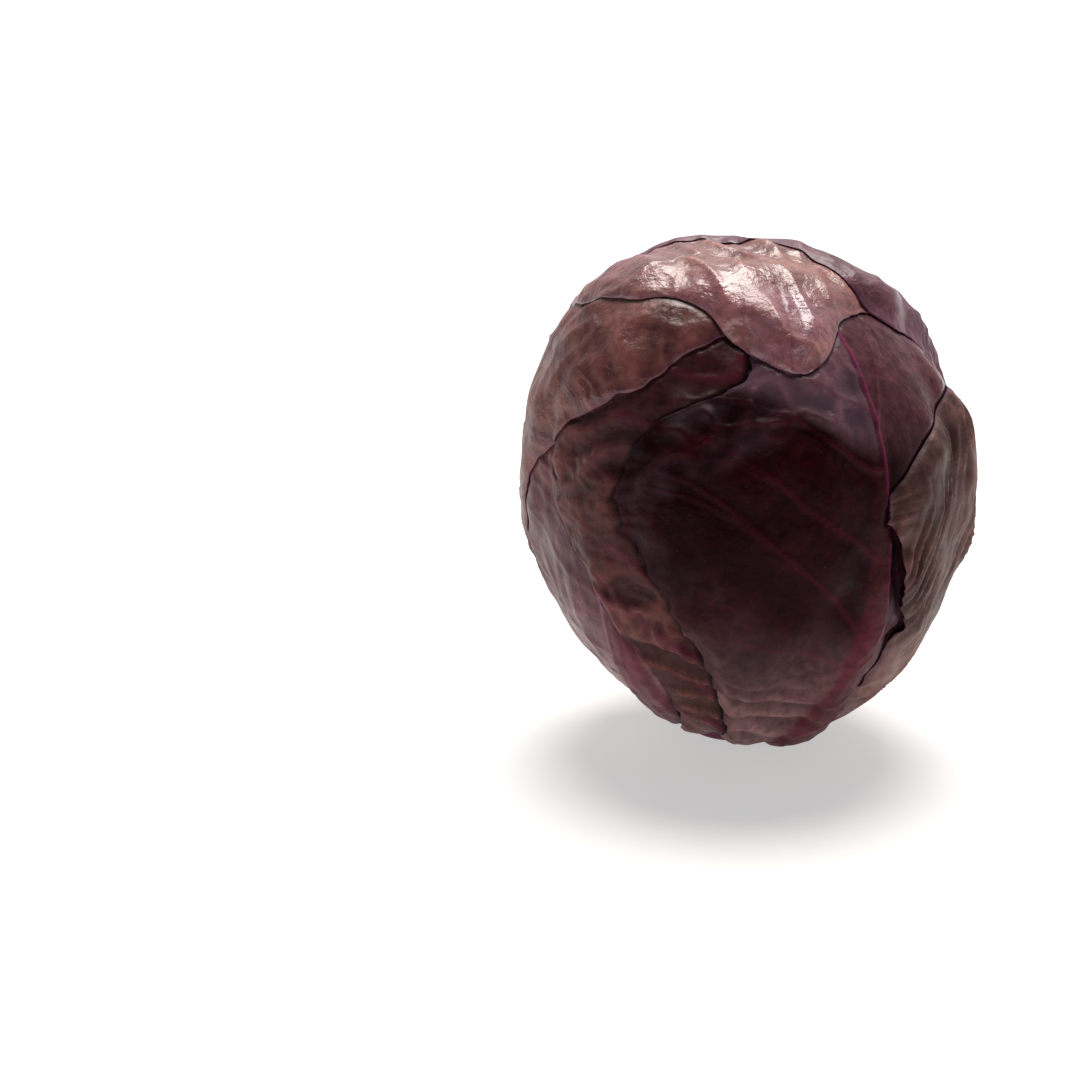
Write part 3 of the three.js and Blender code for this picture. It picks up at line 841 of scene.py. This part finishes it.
def build_heart():
    socket = STALK_RADIUS + FIT_GAP
    roof = STALK_HEIGHT + FIT_GAP
    floor = WIDEST_LEVEL - HEART_DROP * math.sqrt(1 - (socket / HEART_RADIUS) ** 2)
    profile = [(0, roof), (STALK_NECK_RADIUS + FIT_GAP, roof), (socket, floor)]
    first = math.atan2(socket, WIDEST_LEVEL - floor)
    for angle in np.linspace(first, math.pi, 60)[1:-1]:
        d = np.array([[math.sin(angle), 0, -math.cos(angle)]])
        distance = float(turned_radius(d)[0]) - 0.4
        profile.append((distance * d[0, 0], WIDEST_LEVEL + distance * d[0, 2]))
    profile.append((0, WIDEST_LEVEL + HEART_RISE - 0.4))
    obj = turned_object("heart_leaves", profile, 120, leaf_material("inner"), 0.25, 3, True)
    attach(obj, "root")
    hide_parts("heart")


def build_stalk():
    bevel = 0.8
    profile = [(0, 0)]
    profile += [(radius, 0.0) for radius in np.linspace(2, STALK_RADIUS - bevel, 8)]
    profile += [(STALK_RADIUS, bevel), (STALK_NECK_RADIUS, STALK_HEIGHT - bevel)]
    profile += [(STALK_NECK_RADIUS - bevel, STALK_HEIGHT), (0, STALK_HEIGHT)]
    obj = turned_object("cut_stalk", profile, 72, pith_material())
    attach(obj, "root")
    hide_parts("stalk")


def build_leaves():
    materials = {}
    surface = Surface()
    for order, leaf in enumerate(LEAVES):
        tone = leaf.look["tone"]
        if tone not in materials:
            materials[tone] = leaf_material(tone, leaf.look.get("net", 0.5), leaf.look.get("crinkle", 0.12))
        vertices, quads, marks = leaf_mesh(order, surface)
        surface.add_leaf(order)
        obj = make_object(leaf.node + "_fine", vertices, quads, marks, materials[tone])
        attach(obj, "root")
        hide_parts(leaf.node)


def build_floor():
    mesh = bpy.data.meshes.new("floor")
    reach = 30.0
    corners = [(-reach, -reach, 0), (reach, -reach, 0), (reach, reach, 0), (-reach, reach, 0)]
    mesh.from_pydata(corners, [], [(0, 1, 2, 3)])
    material = bpy.data.materials.new("floor")
    material.use_nodes = True
    surface = material.node_tree.nodes["Principled BSDF"]
    surface.inputs["Base Color"].default_value = (0.64, 0.64, 0.64, 1)
    surface.inputs["Roughness"].default_value = 0.7
    surface.inputs["Specular IOR Level"].default_value = 0.2
    surface.inputs["Emission Color"].default_value = (1, 1, 1, 1)
    surface.inputs["Emission Strength"].default_value = 0.5
    mesh.materials.append(material)
    floor = bpy.data.objects.new("floor", mesh)
    bpy.context.scene.collection.objects.link(floor)


def build_light():
    # A broad soft source overhead, a little behind the head
    lamp = bpy.data.lights.new("overhead", "SUN")
    lamp.energy = 4.4
    lamp.angle = math.radians(40)
    lamp.color = (1.0, 0.94, 0.88)
    overhead = bpy.data.objects.new("overhead", lamp)
    overhead.rotation_euler = Vector((0.03, 0.43, 0.90)).to_track_quat("Z", "Y").to_euler()
    bpy.context.scene.collection.objects.link(overhead)
    # Surroundings: bright behind, dim in front
    world = bpy.data.worlds.new("surroundings")
    world.use_nodes = True
    nodes, links = world.node_tree.nodes, world.node_tree.links
    split = nodes.new("ShaderNodeSeparateXYZ")
    links.new(nodes.new("ShaderNodeTexCoord").outputs["Generated"], split.inputs[0])
    span = nodes.new("ShaderNodeMapRange")
    span.inputs["From Min"].default_value = -0.2
    span.inputs["From Max"].default_value = 0.9
    span.inputs["To Min"].default_value = 0.02
    span.inputs["To Max"].default_value = 0.65
    links.new(split.outputs["Y"], span.inputs["Value"])
    links.new(span.outputs["Result"], nodes["Background"].inputs["Strength"])
    nodes["Background"].inputs["Color"].default_value = (1, 1, 1, 1)
    bpy.context.scene.world = world


def build_camera():
    """The camera looks down as in the photograph, and turns until the head is where the photo has it."""
    target = Vector(CENTRE)
    toward = Vector((0, -math.cos(VIEW_HEIGHT), math.sin(VIEW_HEIGHT)))
    place = target + toward * CAMERA_DISTANCE
    focal = LENS / SENSOR * FRAME_PIXELS
    turn, tilt = 0.0, -VIEW_HEIGHT
    for _ in range(30):
        ahead = Vector((math.sin(turn) * math.cos(tilt), math.cos(turn) * math.cos(tilt), math.sin(tilt)))
        right = Vector((math.cos(turn), -math.sin(turn), 0))
        up = right.cross(ahead)
        offset = target - place
        depth = offset.dot(ahead)
        turn += (offset.dot(right) / depth * focal - HEAD_RIGHT_OF_CENTRE) / focal
        tilt += (offset.dot(up) / depth * focal - HEAD_OVER_CENTRE) / focal
    data = bpy.data.cameras.new("camera")
    data.lens = LENS
    data.sensor_width = SENSOR
    data.clip_start = 0.05
    data.clip_end = 100
    camera = bpy.data.objects.new("camera", data)
    rotation = Matrix((right, up, -ahead)).transposed().to_4x4()
    camera.matrix_world = Matrix.Translation(place * MM) @ rotation
    bpy.context.scene.collection.objects.link(camera)
    bpy.context.scene.camera = camera


build_camera()
build_floor()
build_light()
build_heart()
build_stalk()
build_leaves()
bpy.context.scene.view_settings.view_transform = "Standard"
